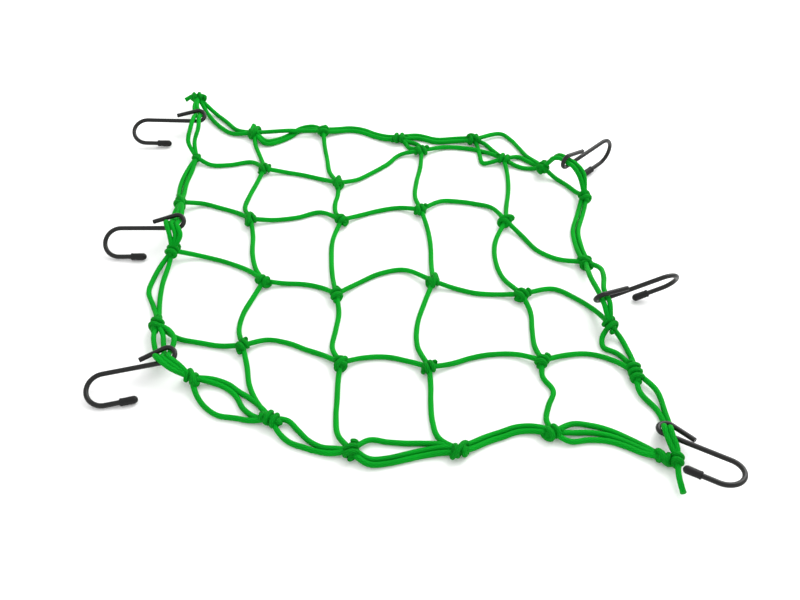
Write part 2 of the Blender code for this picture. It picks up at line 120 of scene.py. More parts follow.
# name, plan position, height of its middle, length, width, height and the direction of its length
Knot = namedtuple("Knot", "name x y z length width height turn")
KNOTS = (
    Knot("top_left", -187, 253, 13.0, 17, 11, 10, 5),
    Knot("top_1", -130, 207, 4.0, 13, 12, 10, 20),
    Knot("top_2", -69, 210, 4.0, 12, 12, 10, 90),
    Knot("top_3", -1, 199, 4.0, 14, 12, 10, 0),
    Knot("top_4", 66, 197, 4.0, 14, 12, 10, 10),
    Knot("top_5", 122, 152, 8.0, 15, 12, 10, 60),
    Knot("right_1", 152, 114, 7.0, 16, 12, 10, 100),
    Knot("right_2", 142, 36, 4.0, 15, 12, 10, 90),
    Knot("right_3", 149, -33, 9.0, 15, 13, 10, 110),
    Knot("right_4", 160, -74, 4.0, 22, 12, 10, 95),
    Knot("bottom_right", 165, -144, 4.0, 12, 10, 9, 160),
    Knot("corner_turn", 173, -147, 7.0, 12, 10, 10, 75),
    Knot("bottom_4", 98, -125, 4.0, 14, 12, 10, 30),
    Knot("bottom_3", 38, -139, 4.0, 14, 12, 10, 10),
    Knot("bottom_2", -31, -139, 4.0, 13, 12, 10, 90),
    Knot("bottom_1", -84, -114, 4.0, 20, 13, 10, 150),
    Knot("bottom_left", -141, -80, 6.0, 15, 11, 10, 150),
    Knot("left_4", -173, -32, 8.0, 19, 12, 10, 80),
    Knot("left_3", -175, 45, 9.0, 15, 12, 10, 80),
    Knot("left_2", -179, 105, 8.0, 15, 12, 10, 80),
    Knot("left_1", -177, 171, 3.6, 9, 9, 8, 80),
    Knot("mesh_11", -116, 154, 4.0, 12, 11, 10, 30),
    Knot("mesh_12", -52, 134, 4.0, 12, 11, 10, 120),
    Knot("mesh_13", 19, 180, 4.0, 13, 12, 10, 20),
    Knot("mesh_14", 90, 168, 4.0, 13, 12, 10, 150),
    Knot("mesh_21", -120, 87, 4.0, 12, 11, 10, 45),
    Knot("mesh_22", -47, 86, 4.0, 12, 11, 10, 135),
    Knot("mesh_23", 17, 99, 4.0, 12, 11, 10, 30),
    Knot("mesh_24", 85, 85, 4.0, 13, 11, 10, 60),
    Knot("mesh_31", -102, 15, 4.0, 12, 11, 10, 150),
    Knot("mesh_32", -47, 1, 4.0, 13, 11, 10, 100),
    Knot("mesh_33", 25, 15, 4.0, 12, 12, 10, 30),
    Knot("mesh_34", 90, 1, 4.0, 13, 12, 10, 45),
    Knot("mesh_41", -110, -50, 4.0, 12, 11, 10, 60),
    Knot("mesh_42", -41, -66, 4.0, 13, 11, 10, 100),
    Knot("mesh_43", 20, -70, 4.0, 12, 11, 10, 30),
    Knot("mesh_44", 98, -64, 4.0, 12, 11, 10, 60),
)

# A strand runs from knot to knot. Its bows are how far it lies to the left of the straight line
# between them, at equal shares of the way. Lift raises it where it crosses over another.
Strand = namedtuple("Strand", "start end cords lift bows")
STRANDS = (
    # mesh, left to right
    Strand("left_1", "mesh_11", 1, 0, (-4, 1, 9)),
    Strand("mesh_11", "mesh_12", 1, 0, (4, 5, 4)),
    Strand("mesh_12", "mesh_13", 1, 0, (-2, 0, 3, 8)),
    Strand("mesh_13", "mesh_14", 1, 0, (12, 14, 11)),
    Strand("mesh_14", "top_5", 1, 0, (-0.5, -1, 1.5)),
    Strand("top_5", "right_1", 1, 0, (3, 4, 3)),
    Strand("left_2", "mesh_21", 1, 0, (9.5, 9, 7)),
    Strand("mesh_21", "mesh_22", 1, 0, (2.5, 6, 12.5)),
    Strand("mesh_22", "mesh_23", 1, 0, (6, 9, 9)),
    Strand("mesh_23", "mesh_24", 1, 0, (17, 20, 20, 17)),
    Strand("mesh_24", "right_2", 1, 0, (-4, -10, -8)),
    Strand("left_3", "mesh_31", 1, 0, (7.5, 10, 10, 7.5)),
    Strand("mesh_31", "mesh_32", 1, 0, (4, 7, 6.5)),
    Strand("mesh_32", "mesh_33", 1, 0, (11.5, 19, 19)),
    Strand("mesh_33", "mesh_34", 1, 0, (-1.5, -3, -1)),
    Strand("mesh_34", "right_3", 1, 0, (19.5, 19, 14)),
    Strand("left_4", "mesh_41", 1, 0, (-4, -3.5, -2.5)),
    Strand("mesh_41", "mesh_42", 1, 0, (11, 12, 9, 6)),
    Strand("mesh_42", "mesh_43", 1, 0, (8, 10, 7)),
    Strand("mesh_43", "mesh_44", 1, 0, (4, 9, 11, 9)),
    Strand("mesh_44", "right_4", 1, 0, (10, 14, 11)),
    # mesh, top to bottom
    Strand("top_1", "mesh_11", 1, 0, (-2, -1, 0)),
    Strand("mesh_11", "mesh_21", 1, 0, (-4, -7, -8)),
    Strand("mesh_21", "mesh_31", 1, 0, (-1, -4, -4)),
    Strand("mesh_31", "mesh_41", 1, 0, (-5, -8, -7)),
    Strand("mesh_41", "bottom_1", 1, 0, (-2, -5, -4)),
    Strand("top_2", "mesh_12", 1, 0, (-2, -3, -4)),
    Strand("mesh_12", "mesh_22", 1, 0, (-1, -4, -4)),
    Strand("mesh_22", "mesh_32", 1, 0, (-6, -6, -4)),
    Strand("mesh_32", "mesh_42", 1, 0, (1, -2, -5)),
    Strand("mesh_42", "bottom_2", 1, 0, (-3, -5, -7, -7)),
    Strand("top_3", "mesh_13", 1, 0, (1, -1.5, 1.5)),
    Strand("top_3", "mesh_13", 1, 0, (4, 7, 6)),
    Strand("mesh_13", "mesh_23", 1, 0, (-1, -4, -5)),
    Strand("mesh_23", "mesh_33", 1, 0, (3, 3, 1)),
    Strand("mesh_33", "mesh_43", 1, 0, (-6, -10, -9)),
    Strand("mesh_43", "bottom_3", 1, 0, (-3, -7, -10, -10)),
    Strand("top_4", "mesh_14", 1, 0, (-4, -10.5, -15.5)),
    Strand("mesh_14", "mesh_24", 1, 0, (3, 3, 1)),
    Strand("mesh_24", "mesh_34", 1, 0, (-11, -14, -11)),
    Strand("mesh_34", "mesh_44", 1, 0, (3, 0.5, -1.5)),
    Strand("mesh_44", "bottom_4", 1, 0, (-1, 5, 0.5, -2.5)),
    # border, clockwise from the top left corner
    Strand("top_left", "top_1", 1, 0, (1.5, -1, -4.5)),
    Strand("top_left", "top_1", 1, 0, (-5, -10, -11)),
    Strand("top_1", "top_2", 1, 4, (1, 0.5, 0.5)),
    Strand("top_1", "top_2", 2, 0, (-12, -9, -2.5, 7.5, 8.5)),
    Strand("top_2", "top_3", 2, 0, (6, 10.5, 9.5, 5, 1.5)),
    Strand("top_3", "top_4", 2, 0, (6, 1, 2.5)),
    Strand("top_4", "top_5", 1, 0, (24, 23, 17.5, 11.5, 7.5)),
    Strand("top_4", "mesh_14", 1, 0, (5, 4, 3)),
    Strand("mesh_14", "top_5", 1, 0, (11.5, 10, 7)),
    Strand("right_1", "right_2", 2, 0, (-3.5, -7, -4.5)),
    Strand("right_3", "right_4", 1, 0, (5, 5, 4)),
    Strand("right_3", "right_4", 1, 0, (-8.5, -10, -3.5, -0.5, 0.5)),
    Strand("bottom_right", "bottom_4", 1, 0, (-6.5, -11, -14, -14.5, -12)),
    Strand("bottom_right", "bottom_4", 1, 0, (-3.8, -7.5, -9.5, -8.5, -4.5)),
    Strand("bottom_right", "bottom_4", 1, 0, (-1, -4, -5, -2.5, 2.5)),
    Strand("bottom_right", "corner_turn", 2, 0, (0,)),
    Strand("bottom_4", "bottom_3", 2, 0, (-7, -9.5, -8, -6.5, -3.5)),
    Strand("bottom_3", "bottom_2", 1, 0, (-6, -7.5, -7.5, -8.5, -9.5)),
    Strand("bottom_3", "bottom_2", 2, 0, (-1.5, 0, 3, 6, 7)),
    Strand("bottom_2", "bottom_1", 1, 0, (1.5, 4, 3, -1, -4.5)),
    Strand("bottom_2", "bottom_1", 1, 0, (5.5, 8, 9, 9.5, 6.5)),
    Strand("bottom_1", "bottom_left", 1, 0, (-5, -8, -9, -10.5, -8)),
    Strand("bottom_1", "bottom_left", 1, 0, (3, 1, -5, -7, -5)),
    Strand("bottom_1", "bottom_left", 1, 0, (6.5, 10, 14, 13, 8.5)),
    Strand("left_4", "left_3", 1, 0, (3, 8, 13, 12, 8)),
    Strand("left_4", "left_3", 1, 0, (1, 3, 4, 4, 2)),
    Strand("left_2", "left_1", 1, 0, (5.5, 6.7, 5)),
    Strand("left_2", "left_1", 1, 0, (1.5, 2.4, 1)),
)

# A threaded strand passes through the eye of a hook on its way. Slot 0 is nearest the eye's round
# end. Its bows are measured to the eye and from the eye.
Threaded = namedtuple("Threaded", "start hook end slot to_eye from_eye")
THREADED = (
    Threaded("top_5", "top_right", "right_1", 0, (1, -2), (0.5,)),
    Threaded("top_5", "top_right", "right_1", 1, (5, 2), (3,)),
    Threaded("right_2", "mid_right", "right_3", 0, (-2, -2.5), (-1,)),
    Threaded("right_2", "mid_right", "right_3", 1, (6, 4), (0,)),
    Threaded("right_4", "bottom_right", "corner_turn", 0, (-3.5, 1.5), (-1, -1)),
    Threaded("right_4", "bottom_right", "corner_turn", 1, (7, 4.5), (0, 1)),
    Threaded("bottom_left", "bottom_left", "left_4", 0, (0,), (-6.5, -6)),
    Threaded("bottom_left", "bottom_left", "left_4", 1, (1.5,), (-1.5, -2.5)),
    Threaded("bottom_left", "bottom_left", "left_4", 2, (3.5,), (2, 2.5)),
    Threaded("left_3", "mid_left", "left_2", 0, (-5,), (-1.5,)),
    Threaded("left_3", "mid_left", "left_2", 1, (-3,), (-1,)),
    Threaded("left_3", "mid_left", "left_2", 2, (-0.5,), (0,)),
    Threaded("left_1", "top_left", "top_left", 0, (2, -0.5), (2,)),
    Threaded("left_1", "top_left", "top_left", 1, (6, 3.5), (2.5,)),
)

# A tail is a cord end that leaves its knot: its length, direction, sideways bow and drop to the end
Tail = namedtuple("Tail", "knot length heading bow drop")
TAILS = (
    Tail("top_left", 13, 170, -5, 5),
    Tail("corner_turn", 23, -92, -1, 3),
    Tail("top_1", 12, 100, 2, 0),
)

# A hook stands where its eye's middle is. Heading turns its shank in plan, pitch raises the bend and
# roll turns the hook about its shank.
Hook = namedtuple("Hook", "name x y z heading pitch roll")
HOOKS = (
    Hook("top_left", -181, 219.5, 14.5, 183, 3.5, 154),
    Hook("mid_left", -173.4, 67.2, 19.2, 178, -2, 148),
    Hook("bottom_left", -158.7, -65.4, 12.8, 192, -3, 163),
    Hook("top_right", 137.2, 131.8, 29.2, 41, 4.5, 90),
    Hook("mid_right", 144.6, -17, 20.0, 10, 19, 113),
    Hook("bottom_right", 171, -123.5, 6.7, -35, 7.6, -9),
)


def rgb(code):
    """An sRGB hex colour as linear values."""
    shares = np.array([int(code[i:i + 2], 16) for i in (1, 3, 5)]) / 255
    return tuple(np.where(shares <= 0.04045, shares / 12.92, ((shares + 0.055) / 1.055) ** 2.4).tolist())


class CordSettings(bpy.types.PropertyGroup):
    diameter: bpy.props.FloatProperty(
        name="Cord diameter", description="Thickness of the elastic cord at rest",
        default=0.0038, min=0.002, max=0.006, precision=4, unit="LENGTH")
    pitch: bpy.props.FloatProperty(
        name="Cord pitch", description="Between the middles of cords that lie side by side",
        default=0.0041, min=0.002, max=0.008, precision=4, unit="LENGTH")
    yarns: bpy.props.IntProperty(
        name="Yarns each way", description="Yarns of the braided sheath that run each way round the cord",
        default=8, min=4, max=24)
    lead: bpy.props.FloatProperty(
        name="Braid lead", description="Length of cord in which a yarn goes once round it",
        default=0.028, min=0.004, max=0.08, precision=4, unit="LENGTH")
    lit: bpy.props.FloatVectorProperty(
        name="Yarn colour", description="Dyed polyester on the crowns of the braid",
        subtype="COLOR", size=3, min=0.0, max=1.0, default=rgb("#00A022"))
    # Painted shade: the groove colour is the yarn darkened where the braid's grooves lie in shade.
    groove_shade: bpy.props.FloatVectorProperty(
        name="Groove colour", description="The same yarn down between its neighbours",
        subtype="COLOR", size=3, min=0.0, max=1.0, default=rgb("#006410"))


class HookSettings(bpy.types.PropertyGroup):
    wire: bpy.props.FloatProperty(
        name="Wire diameter", description="Thickness of the coated steel wire",
        default=0.0035, min=0.002, max=0.006, precision=4, unit="LENGTH")
    eye: bpy.props.FloatProperty(
        name="Eye radius", description="From the middle of the eye to the middle of its wire",
        default=0.0053, min=0.003, max=0.01, precision=4, unit="LENGTH")
    shank: bpy.props.FloatProperty(
        name="Shank length", description="Middle of the eye to the middle of the bend",
        default=0.044, min=0.02, max=0.08, precision=4, unit="LENGTH")
    bend: bpy.props.FloatProperty(
        name="Bend radius", description="From the middle of the bend to the middle of its wire",
        default=0.0115, min=0.005, max=0.02, precision=4, unit="LENGTH")
    tip_arm: bpy.props.FloatProperty(
        name="Tip arm", description="Straight part of the open arm, its cap included",
        default=0.022, min=0.01, max=0.04, precision=4, unit="LENGTH")
    return_arm: bpy.props.FloatProperty(
        name="Return arm", description="Length of the arm that closes the eye along the shank",
        default=0.019, min=0.01, max=0.04, precision=4, unit="LENGTH")
    coat: bpy.props.FloatVectorProperty(
        name="Coat colour", description="Black coat of the wire",
        subtype="COLOR", size=3, min=0.0, max=1.0, default=rgb("#080907"))


class CapSettings(bpy.types.PropertyGroup):
    diameter: bpy.props.FloatProperty(
        name="Cap diameter", description="Thickness of the soft tip cap",
        default=0.0056, min=0.004, max=0.01, precision=4, unit="LENGTH")
    length: bpy.props.FloatProperty(
        name="Cap length", description="From its mouth to its round end",
        default=0.012, min=0.006, max=0.02, precision=4, unit="LENGTH")
    colour: bpy.props.FloatVectorProperty(
        name="Cap colour", description="Black soft PVC",
        subtype="COLOR", size=3, min=0.0, max=1.0, default=rgb("#0A0A0A"))


class StageSettings(bpy.types.PropertyGroup):
    floor: bpy.props.FloatVectorProperty(
        name="Floor colour", description="Plain pale studio floor",
        subtype="COLOR", size=3, min=0.0, max=1.0, default=rgb("#FAFAFA"))
    distance: bpy.props.FloatProperty(
        name="Camera distance", description="From the camera to the floor at the middle of the picture",
        default=0.682, min=0.3, max=3.0, unit="LENGTH")


GROUPS = {"luggage_cord": CordSettings, "luggage_hook": HookSettings,
          "luggage_cap": CapSettings, "luggage_stage": StageSettings}


# Surfaces. One is its vertices in the tables' plan, its faces' corners, how many corners each face
# has, the corners' place on the cloth (along and around, in millimetres) and which faces are flat.
Surface = namedtuple("Surface", "verts corners counts cloth flat")


def unit(vectors):
    """The vectors, each divided by its length."""
    return vectors / np.linalg.norm(vectors, axis=-1, keepdims=True)


def smooth_curve(points, before=None, after=None):
    """A centripetal Catmull-Rom curve through the points.

    Each span is blended between the lines through its four nearest points, with the points spaced
    in t by the square root of their distance. Before and after are places that the curve comes from
    and goes on to, if it doesn't end there.
    """
    p = np.asarray(points, dtype=float)
    first = 2 * p[0] - p[1] if before is None else before
    last = 2 * p[-1] - p[-2] if after is None else after
    q = np.vstack([first, p, last])
    gap = np.sqrt(np.linalg.norm(np.diff(q, axis=0), axis=1))
    t1, t2, t3 = (sum(gap[i:len(gap) - 2 + i] for i in range(n)) for n in (1, 2, 3))
    share = np.arange(FINE_STEPS) / FINE_STEPS
    t = t1[:, None] + (t2 - t1)[:, None] * share

    def mix(low, high, start, end):
        weight = ((t - start[:, None]) / (end - start)[:, None])[..., None]
        return low * (1 - weight) + high * weight

    a, b, c, d = q[:-3, None], q[1:-2, None], q[2:-1, None], q[3:, None]
    zero = np.zeros_like(t1)
    ab, bc, cd = mix(a, b, zero, t1), mix(b, c, t1, t2), mix(c, d, t2, t3)
    line = mix(mix(ab, bc, zero, t2), mix(bc, cd, t1, t3), t1, t2)
    return np.vstack([line.reshape(-1, 3), p[-1:]])


def spaced(line, gap):
    """The line with its points set at equal gaps along it, and one close to each end."""
    run = np.concatenate([[0.0], np.cumsum(np.linalg.norm(np.diff(line, axis=0), axis=1))])
    inner = np.linspace(END_BEVEL, run[-1] - END_BEVEL, max(3, round(run[-1] / gap)))
    along = np.concatenate([[0.0], inner, [run[-1]]])
    return along, np.column_stack([np.interp(along, run, line[:, k]) for k in range(3)])


def carried_frames(line):
    """The tangent at each point and two directions across it, carried along the line without twist.

    The directions first stand square to the vertical. The turn that each makes against the one
    before it, carried over by the smallest rotation, is added up and taken back.
    """
    ahead = unit(np.gradient(line, axis=0))
    side = unit(np.cross([0.0, 0.0, 1.0], ahead) + 1e-9)
    axis = np.cross(ahead[:-1], ahead[1:])
    cos = np.sum(ahead[:-1] * ahead[1:], axis=1, keepdims=True)
    carried = (side[:-1] * cos + np.cross(axis, side[:-1])
               + axis * np.sum(axis * side[:-1], axis=1, keepdims=True) / (1 + cos))
    sine = np.sum(ahead[1:] * np.cross(carried, side[1:]), axis=1)
    twist = np.concatenate([[0.0], np.cumsum(np.arctan2(sine, np.sum(carried * side[1:], axis=1)))])[:, None]
    up = np.cross(ahead, side)
    return ahead, side * np.cos(twist) - up * np.sin(twist), up * np.cos(twist) + side * np.sin(twist)


def tube(line, radius, gap=RING_GAP, sides=CORD_SIDES, flare=0.0, girth=None):
    """A round tube with cut ends: line(s) + radius(s) (side(s) cos a + up(s) sin a).

    The radius is a number or a function of the share of the length. The ends have a small bevel,
    and flare widens them.
    """
    along, line = spaced(line, gap)
    share = along / along[-1]
    wide = np.broadcast_to(radius(share) if callable(radius) else radius, share.shape).copy()
    wide *= 1 + flare * np.exp(-((along[-1] - along) / FLARE_REACH) ** 2)
    wide[[0, -1]] -= END_BEVEL * END_SLIM
    _, side, up = carried_frames(line)
    angle = np.arange(sides) * 2 * np.pi / sides
    rings = line[:, None] + wide[:, None, None] * (
        side[:, None] * np.cos(angle)[:, None] + up[:, None] * np.sin(angle)[:, None])
    return skin(rings, along, girth or 2 * np.pi * float(np.median(wide)))


def skin(rings, along, girth):
    """The faces between rings of points, with a flat face on each end."""
    count, sides = rings.shape[:2]
    i, j = (grid.ravel() for grid in np.meshgrid(np.arange(count - 1), np.arange(sides), indexing="ij"))
    nxt = (j + 1) % sides
    quads = np.column_stack([i * sides + j, i * sides + nxt, (i + 1) * sides + nxt, (i + 1) * sides + j])
    around = girth / sides
    cloth = np.stack([np.column_stack([along[i], j * around]), np.column_stack([along[i], (j + 1) * around]),
                      np.column_stack([along[i + 1], (j + 1) * around]),
                      np.column_stack([along[i + 1], j * around])], axis=1)
    ring = np.arange(sides)
    corners = np.concatenate([quads.ravel(), ring[::-1], ring + (count - 1) * sides])
    end_cloth = np.column_stack([np.repeat([along[0], along[-1]], sides), np.tile(ring * around, 2)])
    counts = np.concatenate([np.full(len(quads), 4), [sides, sides]])
    flat = np.concatenate([np.zeros(len(quads), bool), [True, True]])
    return Surface(rings.reshape(-1, 3), corners, counts, np.vstack([cloth.reshape(-1, 2), end_cloth]), flat)


def placed(surface, pose):
    """The surface moved by a 4 x 4 pose."""
    return surface._replace(verts=surface.verts @ pose[:3, :3].T + pose[:3, 3])


def add_piece(name, surfaces, finish, node):
    mesh = bpy.data.meshes.new(name)
    verts = (np.concatenate([s.verts for s in surfaces]) - ORIGIN) * MM
    base = np.cumsum([0] + [len(s.verts) for s in surfaces[:-1]])
    corners = np.concatenate([s.corners + b for s, b in zip(surfaces, base)])
    counts = np.concatenate([s.counts for s in surfaces])
    mesh.vertices.add(len(verts))
    mesh.vertices.foreach_set("co", verts.astype(np.float32).ravel())
    mesh.loops.add(len(corners))
    mesh.loops.foreach_set("vertex_index", corners.astype(np.int32))
    mesh.polygons.add(len(counts))
    mesh.polygons.foreach_set("loop_start", np.concatenate([[0], np.cumsum(counts)[:-1]]).astype(np.int32))
    mesh.polygons.foreach_set("use_smooth", ~np.concatenate([s.flat for s in surfaces]))
    cloth = mesh.uv_layers.new(name="cloth_mm")
    cloth.data.foreach_set("uv", np.concatenate([s.cloth for s in surfaces]).astype(np.float32).ravel())
    mesh.update(calc_edges=True)
    if mesh.validate():
        raise RuntimeError(f"{name} had faces that Blender can't use")
    mesh.materials.append(finish)
    piece = bpy.data.objects.new(name, mesh)
    bpy.context.scene.collection.objects.link(piece)
    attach(piece, "root")
    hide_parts(node)
    return piece


def place_of(knot):
    """The middle of a knot, high enough for its turns to lie on the surface."""
    return np.array([knot.x, knot.y, max(knot.z, knot.height / 2 + KNOT_LIFT)])


def left_of(start, end):
    """The level direction to the left of the line from start to end."""
    run = end - start
    return unit(np.array([-run[1], run[0], 0.0]))


def laid(start, end, bows, offset, lift, radius):
    """The places of a strand between two knots, laid on the surface.

    At share t it is start + t (end - start) + bow to the left, and its height is the cord's radius
    plus what is left of each knot's height, which falls off with the square of the distance.
    """
    share = np.arange(1, len(bows) + 1) / (len(bows) + 1)
    floor = radius + LAY
    height = floor + lift * np.sin(np.pi * share)
    height += (start[2] - floor) * np.clip(1 - share / RISE, 0, None) ** 2
    height += (end[2] - floor) * np.clip(1 - (1 - share) / RISE, 0, None) ** 2
    line = start + (end - start) * share[:, None] + left_of(start, end) * (np.array(bows) + offset)[:, None]
    line[:, 2] = height
    return line


def strand_lines(strand, places, radius, pitch):
    """The routes of a strand's cords, side by side."""
    start, end = places[strand.start], places[strand.end]
    for i in range(strand.cords):
        offset = (i - (strand.cords - 1) / 2) * pitch
        held = left_of(start, end) * offset * HELD
        middle = laid(start, end, strand.bows, offset, strand.lift, radius)
        yield on_surface(smooth_curve(np.vstack([start + held, middle, end + held])), radius)


def on_surface(line, radius):
    """The line, nowhere lower than a cord of this radius lies."""
    line[:, 2] = np.maximum(line[:, 2], radius + LAY)
    return line


def hook_pose(hook):
    """The hook's 4 x 4 pose: rolled about its shank, then pitched, then turned to its heading."""
    turn = Euler([math.radians(a) for a in (hook.roll, -hook.pitch, hook.heading)], "XYZ")
    pose = np.eye(4)
    pose[:3, :3] = np.array(turn.to_matrix())
    pose[:3, 3] = hook.x, hook.y, hook.z
    return pose


def arm_slope(size):
    """How far the return arm closes on the shank for each millimetre of its length."""
    return (2 * size.eye - size.wire - ARM_GAP) / size.arm


def eye_places(hook, slot, size):
    """The ends of a cord's straight run over the shank, through the eye and under the return arm.

    It lies as level as the wires let it: it leans from the eye's normal until it is level or until
    it comes near them.
    """
    pose = hook_pose(hook)
    reach = size.wire / 2 + size.cord / 2 + EYE_CLEAR
    x = reach - size.eye + slot * size.pitch
    half = size.eye - arm_slope(size) * x / 2 if x > 0 else math.sqrt(size.eye**2 - x**2)
    across, down = pose[:3, 1], pose[:3, 2] * -math.copysign(1, pose[2, 2])
    lean = min(math.acos(reach / half), math.atan2(-down[2], across[2]))
    middle = pose[:3, :3] @ [x, half - size.eye, 0] + pose[:3, 3]
    way = across * math.sin(lean) + down * math.cos(lean)
    return [middle - way * THREAD, middle + way * THREAD]


def in_air(knot, eye, bows):
    """The places of a strand between a knot and an eye: its height follows a quarter of a sine."""
    share = np.arange(1, len(bows) + 1) / (len(bows) + 1)
    line = knot + (eye - knot) * share[:, None] + left_of(knot, eye) * np.array(bows)[:, None]
    line[:, 2] = knot[2] + (eye[2] - knot[2]) * np.sin(np.pi / 2 * share)
    return line


def threaded_line(row, places, eye, radius):
    """The route of a cord from a knot through an eye to the next knot."""
    start, end = places[row.start], places[row.end]
    if np.linalg.norm(eye[0] - start) > np.linalg.norm(eye[1] - start):
        eye = eye[::-1]
    into = smooth_curve(np.vstack([start, in_air(start, eye[0], row.to_eye), eye[0]]), after=eye[1])
    back = in_air(end, eye[1], [-bow for bow in reversed(row.from_eye)])
    out = smooth_curve(np.vstack([eye[1], back[::-1], end]), before=eye[0])
    return on_surface(np.vstack([into, out]), radius)


def tail_line(tail, places, radius):
    """The route of a cord end: out of its knot, bowed to the left half way and dropping evenly."""
    start = places[tail.knot]
    heading = math.radians(tail.heading)
    ahead = np.array([math.cos(heading), math.sin(heading), 0.0])
    left = np.array([-ahead[1], ahead[0], 0.0])
    middle = start + ahead * tail.length * 0.5 + left * tail.bow - [0, 0, tail.drop / 2]
    end = start + ahead * tail.length - [0, 0, tail.drop]
    return on_surface(smooth_curve([start, middle, end]), radius)


def uneven(radius, seed):
    """A cord's radius along its length: two slow waves of up to two hundredths of it.

    At share s it is r (1 + 0.02 sin(9 s + seed) + 0.015 sin(23 s + 2.3 seed)).
    """
    return lambda share: radius * (
        1 + 0.02 * np.sin(9 * share + seed) + 0.015 * np.sin(23 * share + 2.3 * seed))


def knot_turns(knot, seed, cord):
    """The cord wound in a knot, as the route of its middle.

    It is an elliptical coil along the knot's length: at turn t it is p t + s w cos 2 pi t along,
    w cos 2 pi t across and h sin 2 pi t up, where s sets the turns aslant. Both of its ends shrink
    to a third of w and h and run out along the knot. Every third knot is locked by a last turn that
    goes back to the first across the others.
    """
    tight = cord * DRAWN
    turns = max(2, round(knot.length / TURN_ROOM))
    pitch = min(TURN_GAP * cord, (knot.length - 2.2 * tight) / turns)
    locked = seed % 3 == 1
    t = np.linspace(-TUCK, turns + (1.1 if locked else TUCK), TURN_STEPS * (turns + 1))
    tuck = np.clip(-t / TUCK, 0, 1) + np.clip((t - t[-1] + TUCK) / TUCK, 0, 1)
    # The locking turn goes back in four fifths of a turn, over the others by a third of a cord.
    back = np.clip((t - turns) / 0.8, 0, 1) if locked else np.zeros_like(t)
    reach = pitch * turns / 2
    along = -reach + pitch * np.clip(t, -TUCK, turns + TUCK)
    along = np.where(back > 0, reach * np.cos(np.pi * back), along)
    rise = cord * 0.3 * np.sin(np.pi * back)
    # The hand, the slant and the start of the turns differ from knot to knot.
    hand = 1 if seed % 2 else -1
    angle = hand * 2 * np.pi * (t - turns - 0.4) + np.pi / 2 + 0.6 * math.sin(1.7 * seed)
    across = (knot.width / 2 - tight - SIDE_ROOM + rise) * (1 - TUCKED * tuck) * np.cos(angle)
    up = (knot.height / 2 - tight - TOP_ROOM + rise) * (1 - TUCKED * tuck) * np.sin(angle)
    along = along + hand * (0.35 + 0.2 * math.cos(2.3 * seed)) * across
    turn = math.radians(knot.turn)
    line = np.column_stack([along * math.cos(turn) - across * math.sin(turn),
                            along * math.sin(turn) + across * math.cos(turn), up])
    return line + place_of(knot), tight


def knot_heart(knot, cord):
    """The cords inside a knot's turns, as one ellipsoid on its length."""
    turn = math.radians(knot.turn)
    half = np.array([math.cos(turn), math.sin(turn), 0.0]) * (knot.length / 2 - HEART_ROOM)
    line = place_of(knot) + np.linspace(-1, 1, 24)[:, None] * half
    wide = (min(knot.width, knot.height) - cord * HEART_SLIM) / 2

    def radius(share):
        return END_BEVEL + wide * np.sqrt(np.clip(1 - (2 * share - 1) ** 2, 0, None))

    return tube(line, radius)


def arc(centre, radius, start, end, steps):
    """Points at equal angles on a flat arc: centre + radius (cos a, sin a)."""
    angle = np.radians(np.linspace(start, end, steps + 1))
    return np.column_stack([centre[0] + radius * np.cos(angle), centre[1] + radius * np.sin(angle),
                            np.zeros(steps + 1)])


def hook_line(size):
    """The wire's middle line in the hook's own plane, from the return arm's end to the cap's inside.

    A straight arm runs off the eye's circle at its tangent, the eye goes three fifths round, and the
    shank, the half circle of the bend and the tip arm follow.
    """
    end = np.array([size.arm, size.eye - arm_slope(size) * size.arm, 0.0])
    meets = math.degrees(math.atan2(end[1], end[0]) + math.acos(size.eye / np.linalg.norm(end)))
    tip_y = -size.eye - 2 * size.bend
    return np.vstack([end, arc((0, 0), size.eye, meets, 270, EYE_STEPS),
                      arc((size.shank, -size.eye - size.bend), size.bend, 90, -90, BEND_STEPS),
                      [size.shank - size.tip + TIP_INSIDE, tip_y, 0]])


def cap_skin(size):
    """A tip cap: a profile turned once round, from the inside of its mouth to the middle of its end.

    The sleeve swells a little towards a round end, has a soft lip, and a mould's parting line runs
    down both of its sides.
    """
    outer, bore = size.cap / 2 - CAP_SLIM, size.wire / 2 + CAP_PLAY
    inside, sleeve = np.array(CAP_INSIDE), np.array(CAP_SLEEVE)
    dome = np.radians(np.linspace(0, 86, 10))
    z = np.concatenate([inside[:, 0], sleeve[:, 0], size.cap_length - CAP_DOME * (1 - np.sin(dome))])
    r = np.concatenate([bore + inside[:, 1], outer + sleeve[:, 1], outer * np.cos(dome)])
    angle = np.arange(CAP_SIDES) * 2 * np.pi / CAP_SIDES
    seam = CAP_SEAM * np.exp(-(np.sin(angle) / 0.12) ** 2)
    wide = r[:, None] + seam * (r > bore + 0.3)[:, None]
    rings = np.stack([wide * np.cos(angle), wide * np.sin(angle),
                      np.broadcast_to(z[:, None], wide.shape)], axis=2)
    along = np.concatenate([[0.0], np.cumsum(np.hypot(np.diff(r), np.diff(z)))])
    return skin(rings, along, 2 * np.pi * outer)


def add_node(tree, kind, inputs=None, **settings):
    """A node with its settings, whose inputs take either a value or another node's output."""
    node = tree.nodes.new(kind)
    for name, value in settings.items():
        setattr(node, name, value)
    for key, value in (inputs or {}).items():
        if isinstance(value, bpy.types.NodeSocket):
            tree.links.new(value, node.inputs[key])
        else:
            node.inputs[key].default_value = value
    return node


def new_material(name, **constants):
    """A material of one shader, with the values that are the same all over set on its sockets."""
    made = bpy.data.materials.new(name)
    made.use_nodes = True
    shader = made.node_tree.nodes["Principled BSDF"]
    for key, value in constants.items():
        shader.inputs[key.replace("_", " ")].default_value = value
    return made, made.node_tree, shader


